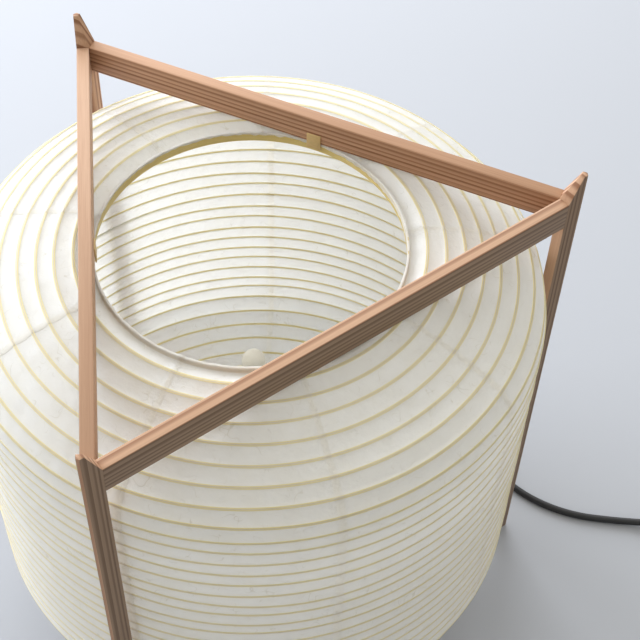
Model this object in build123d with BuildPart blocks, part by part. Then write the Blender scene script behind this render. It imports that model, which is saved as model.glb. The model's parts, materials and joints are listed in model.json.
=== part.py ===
"""Andon floor lamp: a three-legged cedar frame round a washi lantern on bamboo rings.

Millimetres, +Z up. The origin lies on the lantern's axis, at the floor. One leg
stands at -Y; the other two stand at the back, left and right.
"""

import os
from math import asin, atan2, cos, pi, radians, sin, sqrt, tan

from build123d import *

os.makedirs("parts", exist_ok=True)

# ---------------------------------------------------------------- driving sizes
# Frame: three kite-section legs on an equilateral plan, rails butted between them.
frame_side = 440.0  # sharp corner to sharp corner, along a rail's outer face
lamp_height = 500.0  # floor to the tips of the legs
tip_rise = 24.0  # tips of the legs above the top rails
rail_height = 25.0
rail_thickness = 10.0
foot_height = 50.0  # floor to the underside of the bottom rails
tip_blunting = 2.7  # the leg's sharp outer edge is planed off this far in
tip_flat_reach = 6.4  # along a rail's line, from the sharp corner to the bevel
edge_break = 0.5  # planed arris on rails and crossbar

rail_tenon = (10.0, 8.0, 4.0)  # reach into the leg, height, thickness
rail_tenon_stagger = 6.0  # above or below the rail's middle, so two tenons pass in a leg
glue_gap = 0.05  # round a glued joint

# Lantern: paper over bamboo rings, the same above and below its middle.
paper = 0.6
leg_clearance = 3.5  # between the paper and the legs' inner edges
shoulder_radius = 33.0
dome_radius = 234.0
dome_level = 27.3  # in from the first ring, where the dome's arc would be level
hoop_height = 9.0
hoop_thickness = 1.6
rim_clearance = 0.6  # paper inside a hoop to the plane of a rail's inner face
neck_run = 12.9  # from the paper round a hoop out to the first ring
ribs_each_side = 17  # rings between the middle ring and a hoop
rib_section = 1.8  # width against the paper, and depth of the split bamboo
skin_sides = 48  # paper and hoops are fine polygons in plan
rib_sides = 24  # so are the rings, whose corners meet every other corner of the paper
dome_strips = 3  # straight strips of paper that stand for the dome's curve
rim_fold = 2.0  # of paper down the inside of a hoop, past its free edge
shoulder_strips = 3
seat = 0.3  # running clearance between touching curved pieces

# Bamboo tabs, flat on the rails' inner faces, that hook into the hoops.
hook_width = 12.0
hook_plate = 1.2
hook_rise = 9.0  # along the rail
hook_reach = 6.0  # past the rail's edge, inside the hoop
hook_bevel = 0.6

# Crossbar and lampholder.
bar_width = 24.0
bar_height = 12.0
bar_lift = 4.0  # crossbar's underside above the rails' underside
tenon_depth = 6.0
tenon_width = 16.0
tenon_height = 6.0
stem_radius = 5.0
stem_bore = 4.0
stem_top = 242.0
stem_below_bar = 8.0
nut_across = 14.0
nut_height = 4.0
washer_radius = 10.0
washer_thickness = 1.2
gland_radius = 7.5
gland_tip_radius = 4.6
gland_length = 16.0
gland_grip = 4.0  # of the stem inside the gland
holder_radius = 13.0
holder_cap_height = 14.0
holder_body_height = 30.0
holder_floor = 4.0
shell_radius = 8.6  # inside the screw shell
shell_wall = 0.4
contact_height = 1.6

# Lamp: a slim frosted tube with a round end on a small screw cap.
bulb_radius = 10.0
bulb_top = 312.8
bulb_neck_radius = 7.6
bulb_neck_rise = 5.0
bulb_wall = 0.8
cap_radius = 8.3
cap_height = 22.0
cap_button_radius = 3.2
cap_button_height = 1.6

# Flex and what is on it.
cord_radius = 3.5
cord_straight = 22.0  # run of flex in line with the switch or plug that it enters
turn_pitch = 7.2  # between neighbouring turns of the coil
coil_mid_radius = 36.7
coil_columns = 2
coil_layers = 2
coil_lift = 1.0  # the tie under the coil holds it this far off the floor
coil_sides = 24
coil_centre = (508.6, 112.0)
tie_width = 9.0
tie_thickness = 0.8

switch_inlet = (388.0, 191.0)
switch_heading = 9.5
switch_length = 46.0
switch_width = 22.0
switch_height = 15.0
switch_wall = 2.0
switch_relief = 14.0
rocker_length = 14.4
rocker_height = 4.8  # middle of the rocker's top above its axle
rocker_depth = 2.5  # its underside below the axle
rocker_width = 7.4
rocker_pivot = 10.5  # height of the rocker's axle
rocker_swing = 8.0  # each way from level
axle_radius = 1.2

plug_inlet = (537.5, -14.0)
plug_heading = -100.6
plug_length = 24.0
plug_width = 24.0
plug_height = 15.0
plug_relief = 14.0
blade_length = 17.0
blade_width = 6.3
blade_thickness = 1.5
blade_pitch = 12.7

# ---------------------------------------------------------------- worked-out sizes
corner_radius = frame_side / sqrt(3)  # axis to a sharp corner
apothem = frame_side / (2 * sqrt(3))  # axis to a rail's outer face
rail_inner = apothem - rail_thickness
rail_inset = sqrt(3) * rail_thickness  # sharp corner to a rail's end
rail_length = frame_side - 2 * rail_inset
rail_top = lamp_height - tip_rise
rail_bottom = rail_top - rail_height
middle = (rail_top + foot_height) / 2  # the lantern and its rails mirror about this
bottom_rail_top = foot_height + rail_height

# The hoops lie just under the top rails and just over the bottom ones.
fold_inner = rail_inner + rim_clearance  # inside of the paper that folds over a hoop
hoop_inner = fold_inner + paper
hoop_outer = hoop_inner + hoop_thickness
neck_radius = hoop_outer + paper  # outside of the paper at the hoop
rim_top = rail_bottom - seat
hoop_top = rim_top - paper
hoop_bottom = hoop_top - hoop_height

# The dome starts at the first ring, at the rim's height.
wall_radius = corner_radius - 2 * rail_thickness - leg_clearance
first_rib = neck_radius + neck_run
dome_centre = first_rib - dome_level
dome_crown = rim_top + dome_radius - sqrt(dome_radius**2 - dome_level**2)

bar_bottom = foot_height + bar_lift
bar_top = bar_bottom + bar_height

corner_angles = {"leg_back_left": 150, "leg_right": 30, "leg_front": 270}
rail_angles = {"back": 90, "left": 210, "right": 330}  # directions of their faces


# ---------------------------------------------------------------- lantern profile
def dome_height(radius):
    """Height of the upper dome's outer face at a radius."""
    return dome_crown - dome_radius + sqrt(dome_radius**2 - (radius - dome_centre) ** 2)


# The shoulder's arc is tangent to the dome inside and to the wall outside.
shoulder_centre_radius = wall_radius - shoulder_radius
shoulder_slope = asin((shoulder_centre_radius - dome_centre) / (dome_radius - shoulder_radius))
shoulder_centre_height = (
    dome_crown - dome_radius + (dome_radius - shoulder_radius) * cos(shoulder_slope)
)
first_slope = asin((first_rib - dome_centre) / dome_radius)
dome_run = dome_radius * (shoulder_slope - first_slope)
shoulder_run = shoulder_radius * (pi / 2 - shoulder_slope)
wall_run = shoulder_centre_height - middle
rib_pitch = (dome_run + shoulder_run + wall_run) / ribs_each_side
# The paper falls from the first ring to the foot of the hoop.
neck_slope = atan2(dome_height(first_rib) - hoop_bottom, first_rib - neck_radius)


def profile_point(run):
    """Radius, height and slope of the outer face, a run of paper beyond the first ring."""
    if run < dome_run:
        slope = first_slope + run / dome_radius
        centre, height, arc = dome_centre, dome_crown - dome_radius, dome_radius
    elif run < dome_run + shoulder_run:
        slope = shoulder_slope + (run - dome_run) / shoulder_radius
        centre, height, arc = shoulder_centre_radius, shoulder_centre_height, shoulder_radius
    else:
        return wall_radius, shoulder_centre_height - (run - dome_run - shoulder_run), pi / 2
    return centre + arc * sin(slope), height + arc * cos(slope), slope


# A strip's middle lies this far inside the curve that it stands for.
strip_drop = max(
    dome_radius * (1 - cos((shoulder_slope - first_slope) / dome_strips / 2)),
    shoulder_radius * (1 - cos((pi / 2 - shoulder_slope) / shoulder_strips / 2)),
)


def lantern_levels(inset):
    """Radius and height of each bend of the skin less an inset, from one hoop's far edge down."""
    runs = [dome_run * strip / dome_strips for strip in range(dome_strips)]
    runs += [dome_run + shoulder_run * strip / shoulder_strips for strip in range(shoulder_strips + 1)]
    upper = [(neck_radius - inset, hoop_bottom - inset)]
    for run in runs:
        radius, height, slope = profile_point(run)
        upper.append((radius - inset * sin(slope), height - inset * cos(slope)))
    return upper + mirrored(upper)


def mirrored(points):
    """Points of the upper half turned over to the lower half, in the other order."""
    return [(radius, 2 * middle - height) for radius, height in reversed(points)]


def polygon_ring(section, sides):
    """A closed section of (radius, height) points carried round a regular polygon."""
    angles = [2 * pi * side / sides for side in range(sides + 1)]
    panels = []
    for (radius_a, height_a), (radius_b, height_b) in zip(section, section[1:] + section[:1]):
        for first, second in zip(angles, angles[1:]):
            corners = [
                (radius_a * cos(first), radius_a * sin(first), height_a),
                (radius_a * cos(second), radius_a * sin(second), height_a),
                (radius_b * cos(second), radius_b * sin(second), height_b),
                (radius_b * cos(first), radius_b * sin(first), height_b),
            ]
            panels.append(Face(Wire.make_polygon(corners)))
    return Solid(Shell(panels))


# ---------------------------------------------------------------- frame
def corner_plane(angle, height=0.0):
    """A level plane at a sharp corner, its X axis pointing at the lamp's axis."""
    origin = (corner_radius * cos(radians(angle)), corner_radius * sin(radians(angle)), height)
    return Plane(origin=origin, x_dir=(-cos(radians(angle)), -sin(radians(angle)), 0))


def rail_plane(angle, height):
    """A plane across a rail's middle: X along the rail, Y up, Z out of its inner face."""
    out = Vector(cos(radians(angle)), sin(radians(angle)), 0)
    return Plane(origin=out * rail_inner + Vector(0, 0, height), x_dir=(-out.Y, out.X, 0), z_dir=out)


def tenon_places(angle, rail_middle, growth=0.0):
    """Middles of the tenons on both ends of a rail, or of their mortises with a growth."""
    plane = rail_plane(angle, rail_middle)
    for end in (-1, 1):
        out = end * (rail_length + rail_tenon[0] + growth) / 2
        middle_of_tenon = Vector(out, end * rail_tenon_stagger, rail_thickness / 2)
        place = plane.from_local_coords(middle_of_tenon)
        yield Location(Plane(origin=place, x_dir=plane.x_dir, z_dir=plane.z_dir))


def tenon_size(growth=0.0):
    """A tenon's length, height and thickness, or its mortise's with a growth."""
    reach, height, thickness = rail_tenon
    return reach + growth, height + 2 * growth, thickness + 2 * growth


levels = {"top": rail_top - rail_height / 2, "bottom": foot_height + rail_height / 2}
bevel_run = rail_inset - tip_flat_reach

for name, angle in corner_angles.items():
    with BuildPart() as leg:
        with BuildSketch(corner_plane(angle)):
            with BuildLine():
                side = rail_inset
                cut = tip_blunting
                Polyline(
                    (cut, cut * tan(pi / 6)),
                    (side * cos(pi / 6), side * sin(pi / 6)),
                    (2 * rail_thickness, 0),
                    (side * cos(pi / 6), -side * sin(pi / 6)),
                    (cut, -cut * tan(pi / 6)),
                    close=True,
                )
            make_face()
        extrude(amount=lamp_height)
        # Two bevels fall from the tip's flat to the two rails' upper faces.
        for turn in (-30, 30):
            along = Vector(-1, 0, 0).rotate(Axis.Z, angle + turn)
            corner = corner_plane(angle, rail_top).origin
            across = Plane(origin=corner, x_dir=along, z_dir=along.rotate(Axis.Z, -90))
            with BuildSketch(across):
                with BuildLine():
                    Polyline(
                        (rail_inset, 0),
                        (tip_flat_reach, tip_rise),
                        (tip_flat_reach, 2 * tip_rise),
                        (3 * rail_inset, 2 * tip_rise),
                        (3 * rail_inset, -tip_rise * 2 * rail_inset / bevel_run),
                        close=True,
                    )
                make_face()
            extrude(amount=3 * rail_inset, both=True, mode=Mode.SUBTRACT)
        for level in levels.values():
            for rail_angle in rail_angles.values():
                with Locations(*tenon_places(rail_angle, level, glue_gap)):
                    Box(*tenon_size(glue_gap), mode=Mode.SUBTRACT)
    leg.part.label = name
    export_step(leg.part, f"parts/{name}.step")


# ---------------------------------------------------------------- hooks
def hook_outline(flip):
    """Section of a tab: Y up from a rail's lower edge, X outwards from its inner face."""
    points = [
        (0, -hook_reach),
        (0, hook_rise),
        (hook_bevel - hook_plate, hook_rise),
        (-hook_plate, hook_rise - hook_bevel),
        (-hook_plate, hook_bevel - hook_reach),
        (hook_bevel - hook_plate, -hook_reach),
    ]
    return [(x, y * flip) for x, y in points]


hook_edges = {"top": (rail_bottom, 1), "bottom": (bottom_rail_top, -1)}


def between_rails(width, reach):
    """Sketches a strip along X that ends a reach inside the rails."""
    Rectangle(frame_side, width)
    RegularPolygon(rail_inner + reach, 3, major_radius=False, rotation=30, mode=Mode.INTERSECT)


bar_tenon_level = Plane.XY.offset(bar_bottom + (bar_height - tenon_height) / 2)
with BuildPart() as crossbar:
    with BuildSketch(Plane.XY.offset(bar_bottom)):
        between_rails(bar_width, 0)
    extrude(amount=bar_height)
    chamfer(crossbar.edges().filter_by(Axis.X), edge_break)
    with BuildSketch(bar_tenon_level):
        between_rails(tenon_width, tenon_depth)
    extrude(amount=tenon_height)
    with Locations((0, 0, bar_bottom)):
        Cylinder(
            stem_radius + seat,
            bar_height,
            align=(Align.CENTER, Align.CENTER, Align.MIN),
            mode=Mode.SUBTRACT,
        )
crossbar.part.label = "crossbar"
export_step(crossbar.part, "parts/crossbar.step")

for level, rail_middle in levels.items():
    for side_name, angle in rail_angles.items():
        name = f"{level}_rail_{side_name}"
        with BuildPart() as rail:
            with BuildSketch(rail_plane(angle, rail_middle)):
                Rectangle(rail_length, rail_height)
            extrude(amount=rail_thickness)
            along = Axis(origin=(0, 0, 0), direction=rail_plane(angle, 0).x_dir)
            chamfer(rail.edges().filter_by(along), edge_break)
            with Locations(*tenon_places(angle, rail_middle)):
                Box(*tenon_size())
            if level == "bottom":
                # Mortise for the crossbar's tenon; the back rail lies clear of it.
                with BuildSketch(bar_tenon_level):
                    between_rails(tenon_width, tenon_depth)
                extrude(amount=tenon_height, mode=Mode.SUBTRACT)
        rail.part.label = name
        export_step(rail.part, f"parts/{name}.step")

    edge, flip = hook_edges[level]
    with BuildPart() as hooks:
        for angle in rail_angles.values():
            plane = rail_plane(angle, edge)
            section = Plane(origin=plane.origin, x_dir=plane.z_dir, z_dir=-plane.x_dir)
            with BuildSketch(section):
                with BuildLine():
                    Polyline(*hook_outline(flip), close=True)
                make_face()
            extrude(amount=hook_width / 2, both=True)
    hooks.part.label = f"{level}_hoop_hooks"
    export_step(hooks.part, f"parts/{level}_hoop_hooks.step")

    hoop_low = hoop_bottom if level == "top" else 2 * middle - hoop_top
    hoop_high = hoop_low + hoop_height
    with BuildPart() as hoop:
        corners = [
            (hoop_outer, hoop_low),
            (hoop_outer, hoop_high),
            (hoop_inner, hoop_high),
            (hoop_inner, hoop_low),
        ]
        add(polygon_ring(corners, skin_sides))
    hoop.part.label = f"{level}_hoop"
    export_step(hoop.part, f"parts/{level}_hoop.step")

# ---------------------------------------------------------------- paper and ribs
# The paper folds over each hoop's free edge and a little way down inside.
outer_rim = [(fold_inner, hoop_top - rim_fold), (fold_inner, rim_top)]
outer_rim.append((neck_radius, rim_top))
inner_rim = [(hoop_inner, hoop_top - rim_fold), (hoop_inner, hoop_top), (hoop_outer, hoop_top)]
outer_face = outer_rim + lantern_levels(0) + mirrored(outer_rim)
inner_face = inner_rim + lantern_levels(paper) + mirrored(inner_rim)
with BuildPart() as shade_paper:
    add(polygon_ring(outer_face + inner_face[::-1], skin_sides))
shade_paper.part.label = "shade_paper"
export_step(shade_paper.part, "parts/shade_paper.step")


def rib_corners(number):
    """Section of a ring, counted down from the upper hoop: flat on the paper, a ridge inside."""
    last = 2 * ribs_each_side
    radius, height, slope = profile_point(rib_pitch * min(number, last - number))
    out, down = (sin(slope), cos(slope)), (cos(slope), -sin(slope))
    inward = paper + glue_gap
    if slope < pi / 2:
        inward += strip_drop
    if number in (0, last):
        # The flat sides of the first ring lie nearer to the neck than its corners.
        height -= (rib_section + radius * (1 - cos(pi / rib_sides))) * tan(neck_slope)
    corners = []
    for depth, along in ((inward, -1), (inward, 1), (inward + rib_section, 0)):
        shift = along * rib_section / 2
        corner = (
            radius - depth * out[0] + shift * down[0],
            height - depth * out[1] + shift * down[1],
        )
        corners.append(corner)
    return mirrored(corners) if number > ribs_each_side else corners


curved_ribs = int((dome_run + shoulder_run) / rib_pitch) + 1
rib_groups = {
    "top_dome_ribs": range(curved_ribs),
    "wall_ribs": range(curved_ribs, 2 * ribs_each_side + 1 - curved_ribs),
    "bottom_dome_ribs": range(2 * ribs_each_side + 1 - curved_ribs, 2 * ribs_each_side + 1),
}
for name, numbers in rib_groups.items():
    with BuildPart() as ribs:
        for number in numbers:
            add(polygon_ring(rib_corners(number), rib_sides))
    ribs.part.label = name
    export_step(ribs.part, f"parts/{name}.step")


# ---------------------------------------------------------------- lampholder
with BuildPart() as stem:
    with BuildSketch(Plane.XY.offset(bar_bottom - stem_below_bar)):
        Circle(stem_radius)
        Circle(stem_bore, mode=Mode.SUBTRACT)
    extrude(amount=stem_top - bar_bottom + stem_below_bar)
stem.part.label = "stem"
export_step(stem.part, "parts/stem.step")

with BuildPart() as washers:
    for height in (bar_bottom - washer_thickness, bar_top):
        with BuildSketch(Plane.XY.offset(height)):
            Circle(washer_radius)
            Circle(stem_radius + glue_gap, mode=Mode.SUBTRACT)
        extrude(amount=washer_thickness)
washers.part.label = "stem_washers"
export_step(washers.part, "parts/stem_washers.step")

with BuildPart() as nuts:
    for height in (bar_bottom - washer_thickness - nut_height, bar_top + washer_thickness):
        with BuildSketch(Plane.XY.offset(height)):
            RegularPolygon(nut_across / 2, 6, major_radius=False)
            Circle(stem_radius + glue_gap, mode=Mode.SUBTRACT)
        extrude(amount=nut_height)
nuts.part.label = "stem_nuts"
export_step(nuts.part, "parts/stem_nuts.step")

gland_top = bar_bottom - washer_thickness - nut_height
stem_end = bar_bottom - stem_below_bar
gland_tip = gland_top - gland_length
with BuildPart() as gland:
    with BuildSketch(Plane.XZ):
        with BuildLine():
            Polyline(
                (0, gland_tip),
                (gland_tip_radius, gland_tip),
                (gland_radius - 1.5, gland_top - gland_grip),
                (gland_radius, gland_top - gland_grip),
                (gland_radius, gland_top),
                (stem_radius + glue_gap, gland_top),
                (stem_radius + glue_gap, stem_end - glue_gap),
                (0, stem_end - glue_gap),
                close=True,
            )
        make_face()
    revolve(axis=Axis.Z)
gland.part.label = "cord_gland"
export_step(gland.part, "parts/cord_gland.step")

holder_bottom = stem_top - holder_cap_height + 2.0
holder_seam = holder_bottom + holder_cap_height
holder_top = holder_seam + holder_body_height
shell_outer = shell_radius + shell_wall
with BuildPart() as holder_cap:
    with BuildSketch(Plane.XZ):
        with BuildLine():
            Polyline(
                (stem_radius + glue_gap, holder_bottom),
                (stem_radius + 3.0, holder_bottom),
                (holder_radius, holder_seam - 4.0),
                (holder_radius, holder_seam),
                (stem_radius + glue_gap, holder_seam),
                close=True,
            )
        make_face()
    revolve(axis=Axis.Z)
holder_cap.part.label = "lampholder_cap"
export_step(holder_cap.part, "parts/lampholder_cap.step")

with BuildPart() as holder_body:
    with BuildSketch(Plane.XY.offset(holder_seam)):
        Circle(holder_radius)
    extrude(amount=holder_body_height)
    chamfer(holder_body.edges().group_by(Axis.Z)[-1], 1.0)
    with BuildSketch(Plane.XY.offset(holder_seam + holder_floor)):
        Circle(shell_outer + glue_gap)
    extrude(amount=holder_body_height, mode=Mode.SUBTRACT)
holder_body.part.label = "lampholder_body"
export_step(holder_body.part, "parts/lampholder_body.step")

shell_bottom = holder_seam + holder_floor
with BuildPart() as screw_shell:
    with BuildSketch(Plane.XY.offset(shell_bottom)):
        Circle(shell_outer)
        Circle(shell_radius, mode=Mode.SUBTRACT)
    extrude(amount=holder_body_height - holder_floor - 2.0)
screw_shell.part.label = "lampholder_screw_shell"
export_step(screw_shell.part, "parts/lampholder_screw_shell.step")

with BuildPart() as contact:
    with BuildSketch(Plane.XY.offset(shell_bottom)):
        Circle(cap_button_radius + 1.0)
    extrude(amount=contact_height)
contact.part.label = "lampholder_contact"
export_step(contact.part, "parts/lampholder_contact.step")

# ---------------------------------------------------------------- lamp
button_bottom = shell_bottom + contact_height + seat
cap_bottom = button_bottom + cap_button_height
cap_top = cap_bottom + cap_height
with BuildPart() as bulb_cap:
    with BuildSketch(Plane.XZ):
        with BuildLine():
            Polyline(
                (0, button_bottom),
                (cap_button_radius, button_bottom),
                (cap_button_radius, cap_bottom - 0.4),
                (cap_radius - 1.6, cap_bottom + 1.6),
                (cap_radius, cap_bottom + 3.0),
                (cap_radius, cap_top),
                (0, cap_top),
                close=True,
            )
        make_face()
    revolve(axis=Axis.Z)
bulb_cap.part.label = "bulb_screw_cap"
export_step(bulb_cap.part, "parts/bulb_screw_cap.step")

with BuildPart() as bulb_glass:
    with BuildSketch(Plane.XZ):
        with BuildLine() as outline:
            Polyline(
                (0, bulb_top - bulb_radius),
                (0, cap_top),
                (bulb_neck_radius, cap_top),
                (bulb_radius, cap_top + bulb_neck_rise),
                (bulb_radius, bulb_top - bulb_radius),
            )
            RadiusArc((bulb_radius, bulb_top - bulb_radius), (0, bulb_top), -bulb_radius)
            Line((0, bulb_top), (0, bulb_top - bulb_radius))
        make_face(outline.edges())
        with Locations((0, cap_top)):
            Rectangle(
                bulb_neck_radius - bulb_wall,
                bulb_top - bulb_radius - cap_top,
                align=Align.MIN,
                mode=Mode.SUBTRACT,
            )
    revolve(axis=Axis.Z)
bulb_glass.part.label = "bulb_glass"
export_step(bulb_glass.part, "parts/bulb_glass.step")


# ---------------------------------------------------------------- flex
on_floor = cord_radius
housing_middle = switch_height / 2  # height at which the flex meets switch and plug
coil_low = coil_lift + cord_radius
coil_high = coil_low + turn_pitch * (coil_layers - 1)
coil_start = coil_centre[0] + coil_mid_radius + turn_pitch * (coil_columns - 1) / 2

switch_way = Vector(cos(radians(switch_heading)), sin(radians(switch_heading)), 0)
switch_middle = Vector(switch_inlet[0], switch_inlet[1], housing_middle)
switch_outlet = switch_middle + switch_way * (switch_length + 2 * switch_relief)
plug_way = Vector(cos(radians(plug_heading)), sin(radians(plug_heading)), 0)
plug_middle = Vector(plug_inlet[0], plug_inlet[1], housing_middle)

lead_route = [
    (0, 0, gland_tip),
    (0, 0, 24.9),
    (1.4, 7.7, 11.4),
    (3.7, 21.1, on_floor),
    (8, 52, on_floor),
    (30, 106, on_floor),
    (81, 161, on_floor),
    (146, 196, on_floor),
    (187, 178, on_floor),
    (228, 161.5, on_floor),
    (275, 160, on_floor),
    (320, 173, on_floor),
    tuple(switch_middle - switch_way * cord_straight),
    tuple(switch_middle),
]
tail_route = [
    tuple(switch_outlet),
    tuple(switch_outlet + switch_way * cord_straight),
    (517, 197, 4.6),
    (540, 168, 3.7),
    (coil_start, 134, 4.0),
    (coil_start, coil_centre[1], coil_low),
]
end_route = [
    (coil_start, coil_centre[1], coil_high),
    (coil_start, 88, 10.2),
    (547, 45, 5.2),
    tuple(plug_middle - plug_way * cord_straight),
    tuple(plug_middle),
]


def bend_radii(route):
    """For each corner, the largest arc that its two runs leave room for."""
    radii = []
    for before, here, after in zip(route, route[1:], route[2:]):
        arriving, leaving = Vector(here) - Vector(before), Vector(after) - Vector(here)
        half_turn = radians(arriving.get_angle(leaving)) / 2
        radii.append(0.45 * min(arriving.length, leaving.length) / tan(half_turn))
    return radii


for name, route in (("cord_lead", lead_route), ("cord_tail", tail_route), ("cord_end", end_route)):
    radii = bend_radii(route)
    with BuildPart() as flex:
        with BuildLine() as path:
            FilletPolyline(*route, radius=radii)
        with BuildSketch(Plane(origin=route[0], z_dir=Vector(route[1]) - Vector(route[0]))):
            Circle(cord_radius)
        sweep()
    length = sum(edge.length for edge in path.edges())
    share = flex.part.volume / (pi * cord_radius**2 * length)
    print(name, "length", round(length, 1), "volume share", round(share, 4))
    print("  bend radii", [round(radius) for radius in radii])
    flex.part.label = name
    export_step(flex.part, f"parts/{name}.step")

coil_turns = coil_columns * coil_layers
print("coil length", round(2 * pi * coil_mid_radius * coil_turns, 1))
coil_half_width = turn_pitch * (coil_columns - 1) / 2 + cord_radius
coil_top = coil_high + cord_radius
with BuildPart() as coil:
    with BuildSketch(Plane.XY.offset(coil_lift)):
        with Locations(coil_centre):
            for reach, mode in ((coil_half_width, Mode.ADD), (-coil_half_width, Mode.SUBTRACT)):
                RegularPolygon(
                    coil_mid_radius + reach,
                    coil_sides,
                    major_radius=False,
                    rotation=180 / coil_sides,
                    mode=mode,
                )
    extrude(amount=coil_top - coil_lift)
coil.part.label = "cord_coil"
export_step(coil.part, "parts/cord_coil.step")

with BuildPart() as tie:
    tie_place = (coil_centre[0] - coil_mid_radius, coil_centre[1], 0)
    across = Plane(origin=tie_place, x_dir=(1, 0, 0), z_dir=(0, -1, 0))
    tie_inner = (2 * (coil_half_width + seat), coil_top + seat - tie_thickness)
    with BuildSketch(across):
        with Locations((0, tie_thickness + tie_inner[1] / 2)):
            RectangleRounded(
                tie_inner[0] + 2 * tie_thickness, tie_inner[1] + 2 * tie_thickness, 2.0
            )
            RectangleRounded(*tie_inner, 0.7, mode=Mode.SUBTRACT)
    extrude(amount=tie_width / 2, both=True)
tie.part.label = "coil_tie"
export_step(tie.part, "parts/coil_tie.step")

# ---------------------------------------------------------------- in-line switch
switch_floor = Plane(origin=(switch_inlet[0], switch_inlet[1], 0), x_dir=switch_way)
switch_centre = switch_relief + switch_length / 2


def switch_level(height):
    """A level plane under the middle of the switch, along it."""
    return Plane(
        origin=switch_floor.from_local_coords(Vector(switch_centre, 0, height)), x_dir=switch_way
    )


seam = switch_height / 2
cavity = (switch_length - 2 * switch_wall, switch_width - 2 * switch_wall)
slot = (rocker_length + 2.0, rocker_width + 2 * seat)
corner_round = 5.0
with BuildPart() as switch_base:
    with BuildSketch(switch_level(0)):
        RectangleRounded(switch_length, switch_width, corner_round)
    extrude(amount=seam)
    chamfer(switch_base.faces().sort_by(Axis.Z)[0].edges(), 1.0)
    with BuildSketch(switch_level(switch_wall)):
        RectangleRounded(*cavity, corner_round - switch_wall)
    extrude(amount=seam, mode=Mode.SUBTRACT)
switch_base.part.label = "switch_base"
export_step(switch_base.part, "parts/switch_base.step")

axle_line = switch_level(rocker_pivot)
axle_plane = Plane(origin=axle_line.origin, x_dir=axle_line.x_dir, z_dir=-axle_line.y_dir)
lug_reach = (cavity[1] - slot[1]) / 2 - seat
with BuildPart() as switch_cover:
    with BuildSketch(switch_level(seam)):
        RectangleRounded(switch_length, switch_width, corner_round)
    extrude(amount=seam)
    chamfer(switch_cover.faces().sort_by(Axis.Z)[-1].edges(), 1.5)
    with BuildSketch(switch_level(seam)):
        RectangleRounded(*cavity, corner_round - switch_wall)
    extrude(amount=seam - switch_wall, mode=Mode.SUBTRACT)
    with BuildSketch(switch_level(seam)):
        Rectangle(*slot)
    extrude(amount=seam, mode=Mode.SUBTRACT)
    # Two lugs under the top carry the rocker's axle.
    with BuildSketch(switch_level(rocker_pivot - 2.2)):
        for side in (-1, 1):
            with Locations((0, side * (cavity[1] - lug_reach) / 2)):
                Rectangle(6.0, lug_reach)
    extrude(amount=switch_height - switch_wall - rocker_pivot + 2.2)
    with BuildSketch(axle_plane):
        Circle(axle_radius + glue_gap)
    extrude(amount=cavity[1] / 2 - 1.0, both=True, mode=Mode.SUBTRACT)
switch_cover.part.label = "switch_cover"
export_step(switch_cover.part, "parts/switch_cover.step")

half_rocker = rocker_length / 2
lift = half_rocker * tan(radians(rocker_swing))
with BuildPart() as rocker:
    with BuildSketch(axle_plane):
        with BuildLine():
            Polyline(
                (-half_rocker, -rocker_depth),
                (half_rocker, -rocker_depth),
                (half_rocker, rocker_height + lift),
                (0, rocker_height),
                (-half_rocker, rocker_height + lift),
                close=True,
            )
        make_face()
    extrude(amount=rocker_width / 2, both=True)
    with BuildSketch(axle_plane):
        Circle(axle_radius)
    extrude(amount=cavity[1] / 2 - 1.2, both=True)
rocker_axis = Axis(axle_line.origin, axle_line.y_dir)
rocker_at_rest = rocker.part.rotate(rocker_axis, rocker_swing)
rocker_at_rest.label = "switch_rocker"
export_step(rocker_at_rest, "parts/switch_rocker.step")
print("rocker axle", [round(value, 3) for value in axle_line.origin], "along", axle_line.y_dir)

with BuildPart() as reliefs:
    for distance, way in ((0, 1), (switch_length + 2 * switch_relief, -1)):
        mouth = switch_floor.from_local_coords(Vector(distance, 0, housing_middle))
        for place, radius in ((0, cord_radius + 0.9), (switch_relief, cord_radius + 2.4)):
            along = switch_way * way
            with BuildSketch(Plane(origin=mouth + along * place, z_dir=along)):
                Circle(radius)
        loft()
reliefs.part.label = "switch_reliefs"
export_step(reliefs.part, "parts/switch_reliefs.step")

# ---------------------------------------------------------------- plug
plug_across = Vector(-plug_way.Y, plug_way.X, 0)


def plug_section(distance):
    """A plane across the plug, its X axis level and its Z axis towards the blades."""
    return Plane(origin=plug_middle + plug_way * distance, x_dir=plug_across, z_dir=plug_way)


body_start = plug_relief
body_end = plug_relief + plug_length
blade_root = 8.0
blade_offsets = [(-blade_pitch / 2, 0), (blade_pitch / 2, 0)]
with BuildPart() as plug_body:
    with BuildSketch(plug_section(body_start)):
        RectangleRounded(plug_width - 6.0, plug_height - 2.0, 4.0)
    with BuildSketch(plug_section(body_end)):
        RectangleRounded(plug_width, plug_height, 4.0)
    loft()
    with BuildSketch(plug_section(body_end)):
        with Locations(*blade_offsets):
            Rectangle(blade_thickness + glue_gap, blade_width + glue_gap)
    extrude(amount=-blade_root, mode=Mode.SUBTRACT)
plug_body.part.label = "plug_body"
export_step(plug_body.part, "parts/plug_body.step")

with BuildPart() as plug_neck:
    for distance, radius in ((0, cord_radius + 0.9), (body_start, cord_radius + 2.4)):
        with BuildSketch(plug_section(distance)):
            Circle(radius)
    loft()
plug_neck.part.label = "plug_relief"
export_step(plug_neck.part, "parts/plug_relief.step")

with BuildPart() as blades:
    with BuildSketch(plug_section(body_end - blade_root)):
        with Locations(*blade_offsets):
            Rectangle(blade_thickness, blade_width)
    extrude(amount=blade_root + blade_length)
    chamfer(blades.faces().filter_by(Plane(origin=(0, 0, 0), z_dir=plug_way)).edges(), 0.4)
    with BuildSketch(Plane(origin=plug_section(body_end + blade_length - 4.0).origin, z_dir=plug_across)):
        Circle(1.5)
    extrude(amount=plug_width / 2, both=True, mode=Mode.SUBTRACT)
blades.part.label = "plug_blades"
export_step(blades.part, "parts/plug_blades.step")
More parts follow.
